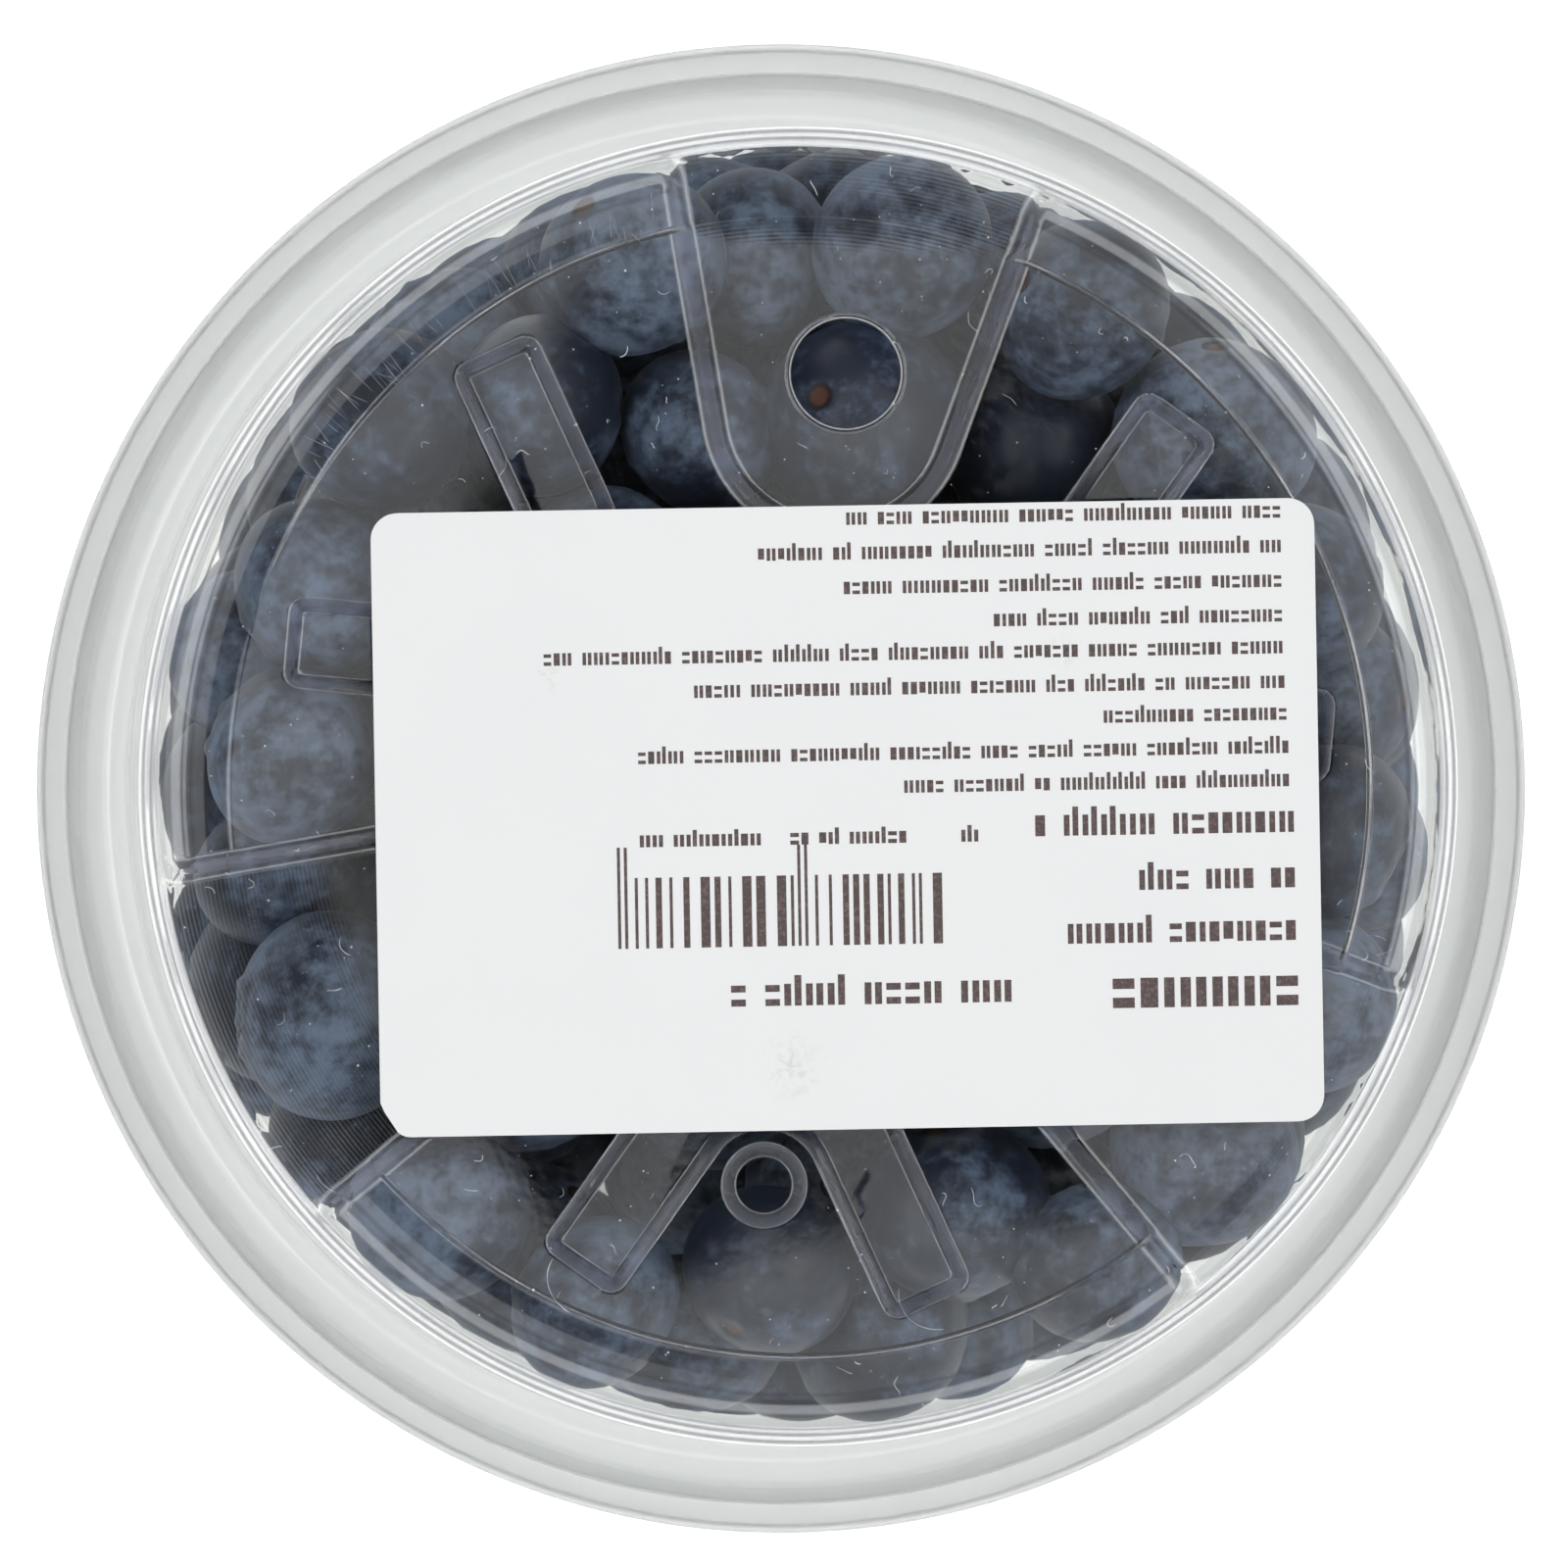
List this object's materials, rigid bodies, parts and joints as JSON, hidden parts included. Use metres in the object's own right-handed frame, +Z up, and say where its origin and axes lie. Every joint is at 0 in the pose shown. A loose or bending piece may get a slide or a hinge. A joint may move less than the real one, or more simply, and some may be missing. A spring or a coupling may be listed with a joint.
{
  "type": "punnet of blueberries",
  "caption": "Round clear plastic tub of blueberries, shut by a snap lid and lying base up, with ribbed drain channels and a plain paper label on the base.",
  "frame": {"origin": "centre of the lid's foot ring, on the surface the shut tub lies on", "axes": "+Z up through the tub's base, which faces up; +Y is the picture's up and +X its right, so the drain channel with the hole lies towards +Y"},
  "size_m": [0.1144, 0.1144, 0.0602],
  "materials": {
    "tub": "clear, glossy, faint scuffs",
    "lid": "clear, glossy",
    "label": null,
    "berries": "waxy skin with pale bloom"
  },
  "bodies": {
    "root": {"tub": "tub", "lid": "lid", "label": "label", "berries": "berries"}
  },
  "joints": []
}
